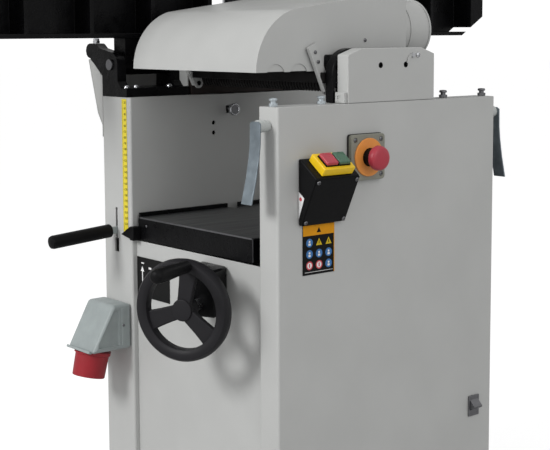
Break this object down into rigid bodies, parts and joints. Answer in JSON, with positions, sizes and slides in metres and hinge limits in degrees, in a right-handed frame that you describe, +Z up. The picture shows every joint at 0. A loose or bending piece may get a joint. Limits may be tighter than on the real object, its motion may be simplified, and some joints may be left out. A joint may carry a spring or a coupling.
{
  "type": "combined planer thicknesser",
  "caption": "Woodworking planer-thicknesser with tipped-up surface tables, flipped-up dust hood, rising thickness table, handwheel and side controls.",
  "frame": {"origin": "on the floor, on the underside of the base, below the middle of the cutterblock", "axes": "+Z up, +Y the thicknesser's feed direction, +X from the hinge column towards the control column"},
  "size_m": [0.5773, 1.4, 1.289],
  "materials": {
    "light_grey_paint": "satin",
    "black_casting": "gloss black paint",
    "machined_iron": "machined",
    "bright_steel": "bright",
    "zinc_steel": "zinc plated",
    "black_plastic": "satin",
    "yellow_plastic": "gloss",
    "red_plastic": "gloss",
    "green_plastic": "gloss",
    "grey_plastic": "satin",
    "orange_plastic": "satin",
    "rubber": "matt",
    "scale_yellow": "satin"
  },
  "bodies": {
    "cabinet": {"base_plinth": "light_grey_paint", "left_column": "light_grey_paint", "right_column": "light_grey_paint", "left_shield": "light_grey_paint", "front_panel": "light_grey_paint", "rear_panel": "light_grey_paint", "left_head_casting": "black_casting", "right_head_casting": "black_casting", "head_cover": "light_grey_paint", "cutter_bearing_left": "bright_steel", "cutter_bearing_right": "bright_steel", "motor_body": "machined_iron", "drive_belt": "rubber", "feed_chain": "machined_iron", "feed_gearbox": "machined_iron", "lift_guide_tube": "black_casting", "handwheel_bracket": "black_casting", "front_hinge_bracket": "black_casting", "rear_hinge_bracket": "black_casting", "front_hinge_pin": "bright_steel", "rear_hinge_pin": "bright_steel", "table_stop_stud_1": "bright_steel", "table_stop_stud_2": "bright_steel", "table_stop_stud_3": "bright_steel", "table_stop_stud_4": "bright_steel", "estop_plate": "grey_plastic", "estop_disc": "orange_plastic", "switch_housing": "black_plastic", "switch_frame": "yellow_plastic", "inlet_housing": "grey_plastic", "inlet_shroud": "red_plastic", "thickness_scale": "scale_yellow", "height_sign": "black_plastic", "pictogram_label": "black_plastic"},
    "thickness_table": {"thickness_table": "machined_iron", "table_lift_column": "bright_steel", "lift_nut": "machined_iron", "scale_pointer": "black_plastic"},
    "lead_screw": {"lead_screw": "bright_steel"},
    "handwheel": {"handwheel": "black_plastic", "handwheel_shaft": "bright_steel"},
    "crank_grip": {"crank_grip": "black_plastic"},
    "cutterblock": {"cutterblock": "bright_steel", "cutter_pulley": "machined_iron"},
    "motor_rotor": {"motor_pulley": "machined_iron"},
    "infeed_roller": {"infeed_roller": "bright_steel"},
    "outfeed_roller": {"outfeed_roller": "bright_steel"},
    "feed_drive": {"feed_drive_sprocket": "machined_iron"},
    "anti_kickback_fingers": {"anti_kickback_fingers": "machined_iron"},
    "front_surface_table": {"front_surface_table": "machined_iron"},
    "rear_surface_table": {"rear_surface_table": "machined_iron"},
    "dust_hood": {"dust_hood": "light_grey_paint"},
    "feed_lever": {"feed_lever": "zinc_steel", "feed_lever_grip": "black_plastic"},
    "front_lock_lever": {"front_lock_lever": "zinc_steel"},
    "rear_lock_lever": {"rear_lock_lever": "zinc_steel"},
    "estop_button": {"estop_button": "red_plastic"},
    "start_button": {"start_button": "green_plastic"},
    "stop_button": {"stop_button": "red_plastic"},
    "latch_knob": {"latch_knob": "bright_steel"}
  },
  "joints": [
    {"name": "handwheel_turn", "type": "hinge", "parent": "cabinet", "child": "handwheel", "pos_m": [0.114, -0.326, 0.475], "axis": [-0.4226, 0.9063, 0], "range_deg": [0, 15480]},
    {"name": "table_height", "type": "slide", "parent": "cabinet", "child": "thickness_table", "axis": [0, 0, 1], "range_m": [0, 0.215]},
    {"name": "lead_screw_turn", "type": "hinge", "parent": "cabinet", "child": "lead_screw", "pos_m": [0.00395, -0.09, 0.28], "axis": [0, 0, 1], "range_deg": [-15480, 0]},
    {"name": "crank_grip_turn", "type": "hinge", "parent": "handwheel", "child": "crank_grip", "pos_m": [0.13025, -0.33167, 0.54492], "axis": [-0.4226, 0.9063, 0], "continuous": true},
    {"name": "cutterblock_turn", "type": "hinge", "parent": "cabinet", "child": "cutterblock", "pos_m": [0.0175, 0, 0.844], "axis": [1, 0, 0], "continuous": true},
    {"name": "motor_turn", "type": "hinge", "parent": "cabinet", "child": "motor_rotor", "pos_m": [0.19, 0.155, 0.14], "axis": [1, 0, 0], "continuous": true},
    {"name": "infeed_turn", "type": "hinge", "parent": "cabinet", "child": "infeed_roller", "pos_m": [0.0175, -0.058, 0.829], "axis": [1, 0, 0], "continuous": true},
    {"name": "outfeed_turn", "type": "hinge", "parent": "cabinet", "child": "outfeed_roller", "pos_m": [0.0175, 0.058, 0.829], "axis": [1, 0, 0], "continuous": true},
    {"name": "feed_drive_turn", "type": "hinge", "parent": "cabinet", "child": "feed_drive", "pos_m": [-0.205, 0, 0.7], "axis": [1, 0, 0], "continuous": true},
    {"name": "fingers_swing", "type": "hinge", "parent": "cabinet", "child": "anti_kickback_fingers", "pos_m": [0.0175, -0.096, 0.842], "axis": [1, 0, 0], "range_deg": [0, 25]},
    {"name": "front_table_tip", "type": "hinge", "parent": "cabinet", "child": "front_surface_table", "pos_m": [-0.212, -0.176, 0.842], "axis": [0, 1, 0], "range_deg": [0, 15]},
    {"name": "rear_table_tip", "type": "hinge", "parent": "cabinet", "child": "rear_surface_table", "pos_m": [-0.212, 0.176, 0.842], "axis": [0, 1, 0], "range_deg": [0, 15]},
    {"name": "hood_flip", "type": "hinge", "parent": "cabinet", "child": "dust_hood", "pos_m": [0.018, -0.098, 0.808], "axis": [-1, 0, 0], "range_deg": [-175, 0]},
    {"name": "feed_lever_swing", "type": "hinge", "parent": "cabinet", "child": "feed_lever", "pos_m": [-0.2, -0.175, 0.554], "axis": [-1, 0, 0], "range_deg": [-20, 16]},
    {"name": "front_lock_swing", "type": "hinge", "parent": "cabinet", "child": "front_lock_lever", "pos_m": [0.218, -0.255, 0.759], "axis": [0, -1, 0], "range_deg": [0, 90]},
    {"name": "rear_lock_swing", "type": "hinge", "parent": "cabinet", "child": "rear_lock_lever", "pos_m": [0.218, 0.255, 0.759], "axis": [0, -1, 0], "range_deg": [0, 90]},
    {"name": "estop_press", "type": "slide", "parent": "cabinet", "child": "estop_button", "axis": [-1, 0, 0], "range_m": [0, 0.004]},
    {"name": "start_press", "type": "slide", "parent": "cabinet", "child": "start_button", "axis": [-0.5895, 0, -0.8078], "range_m": [0, 0.003], "stiffness_N_per_m": 800, "springref_m": -0.002},
    {"name": "stop_press", "type": "slide", "parent": "cabinet", "child": "stop_button", "axis": [-0.5895, 0, -0.8078], "range_m": [0, 0.003], "stiffness_N_per_m": 800, "springref_m": -0.002},
    {"name": "latch_pull", "type": "slide", "parent": "cabinet", "child": "latch_knob", "axis": [1, 0, 0], "range_m": [0, 0.006], "stiffness_N_per_m": 500, "springref_m": -0.004}
  ],
  "couplings": [
    {"joint": "handwheel_turn", "follows": "table_height", "rad_per_m": 1256.6},
    {"joint": "lead_screw_turn", "follows": "table_height", "rad_per_m": -1256.6},
    {"joint": "motor_turn", "follows": "cutterblock_turn", "ratio": 0.475},
    {"joint": "outfeed_turn", "follows": "infeed_turn", "ratio": 1},
    {"joint": "feed_drive_turn", "follows": "infeed_turn", "ratio": 1}
  ]
}
